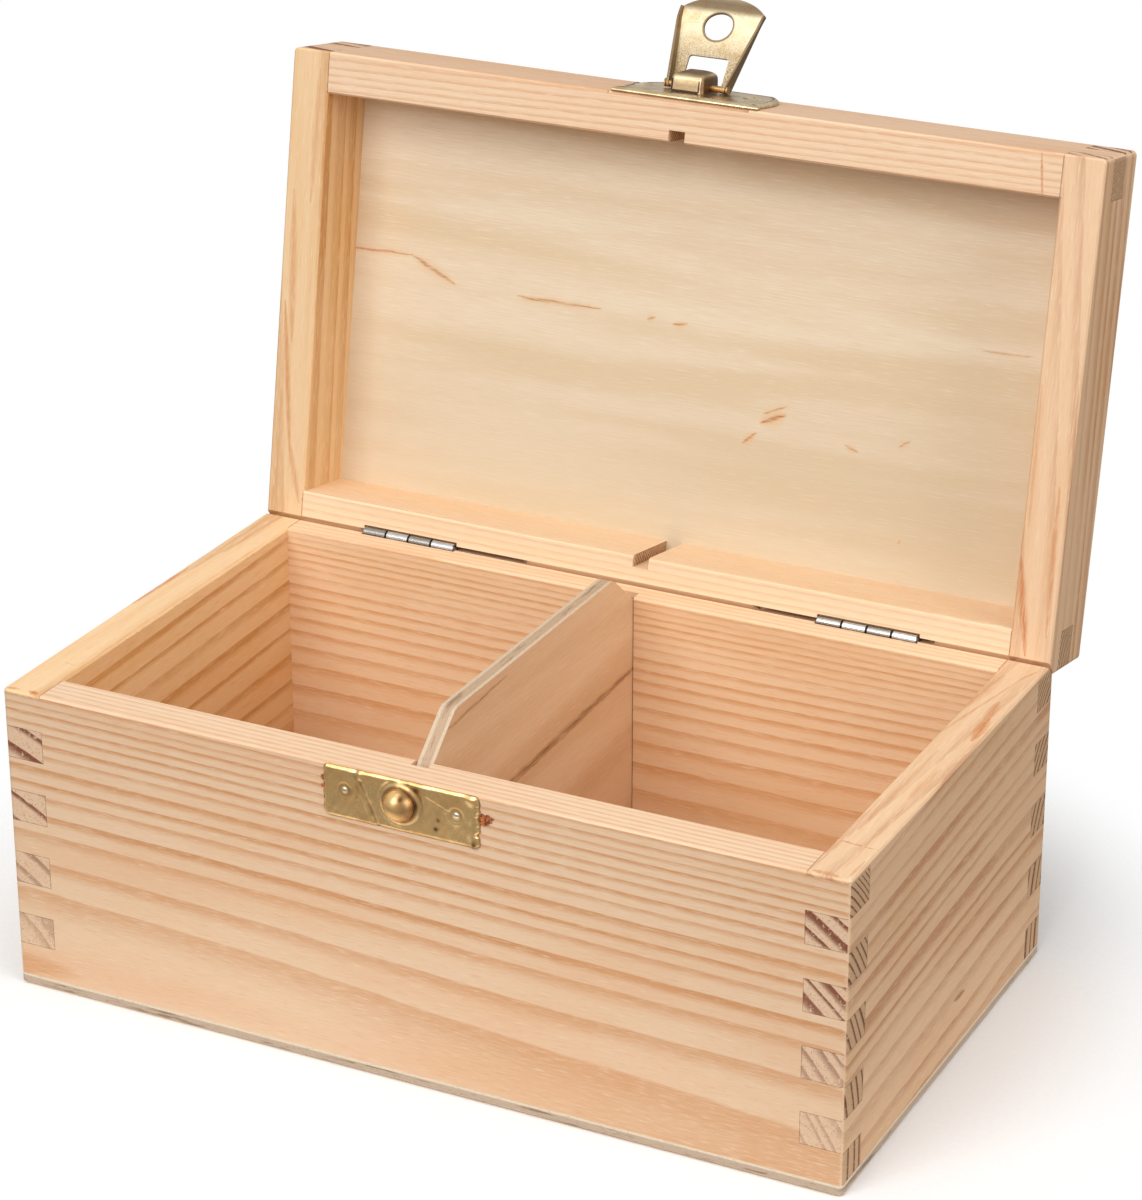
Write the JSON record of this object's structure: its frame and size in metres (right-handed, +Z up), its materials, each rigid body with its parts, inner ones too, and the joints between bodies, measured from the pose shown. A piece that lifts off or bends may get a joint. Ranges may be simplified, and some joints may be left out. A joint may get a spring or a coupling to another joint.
{
  "type": "wooden tea box",
  "caption": "Finger-jointed pine tea box with a plywood divider and a hinged lid standing open, held shut by a swinging brass hasp that snaps over a domed catch.",
  "frame": {"origin": "middle of the box's underside, on the surface it stands on", "axes": "+X along the front towards the side seen in the picture's right, +Y from the latch side to the hinge side, +Z up"},
  "size_m": [0.165, 0.1356, 0.1652],
  "materials": {
    "pine_front_back": "satin",
    "pine_sides": "satin",
    "pine_lid_front_back": "satin",
    "pine_lid_sides": "satin",
    "plywood_bottom": "matte",
    "plywood_divider": "matte",
    "plywood_top": "matte",
    "hinge_zinc": "satin",
    "catch_brass": "tarnished",
    "latch_brass": "satin",
    "nail_steel": "satin",
    "pin_steel": "satin"
  },
  "bodies": {
    "box": {"front_wall": "pine_front_back", "back_wall": "pine_front_back", "left_wall": "pine_sides", "right_wall": "pine_sides", "bottom_panel": "plywood_bottom", "divider": "plywood_divider", "left_hinge_box_leaf": "hinge_zinc", "left_hinge_pin": "pin_steel", "right_hinge_box_leaf": "hinge_zinc", "right_hinge_pin": "pin_steel", "catch_plate": "catch_brass", "catch_nails": "nail_steel"},
    "lid": {"lid_front_rail": "pine_lid_front_back", "lid_back_rail": "pine_lid_front_back", "lid_left_rail": "pine_lid_sides", "lid_right_rail": "pine_lid_sides", "lid_panel": "plywood_top", "left_hinge_lid_leaf": "hinge_zinc", "right_hinge_lid_leaf": "hinge_zinc", "latch_plate": "latch_brass", "latch_nails": "nail_steel"},
    "hasp": {"hasp": "latch_brass", "hasp_pin": "pin_steel"}
  },
  "joints": [
    {"name": "lid_hinge", "type": "hinge", "parent": "box", "child": "lid", "pos_m": [0, 0.0451, 0.06025], "axis": [1, 0, 0], "range_deg": [0, 100]},
    {"name": "hasp_pivot", "type": "hinge", "parent": "lid", "child": "hasp", "pos_m": [-0.00075, 0.06973, 0.15186], "axis": [1, 0, 0], "range_deg": [0, 124.3]}
  ]
}
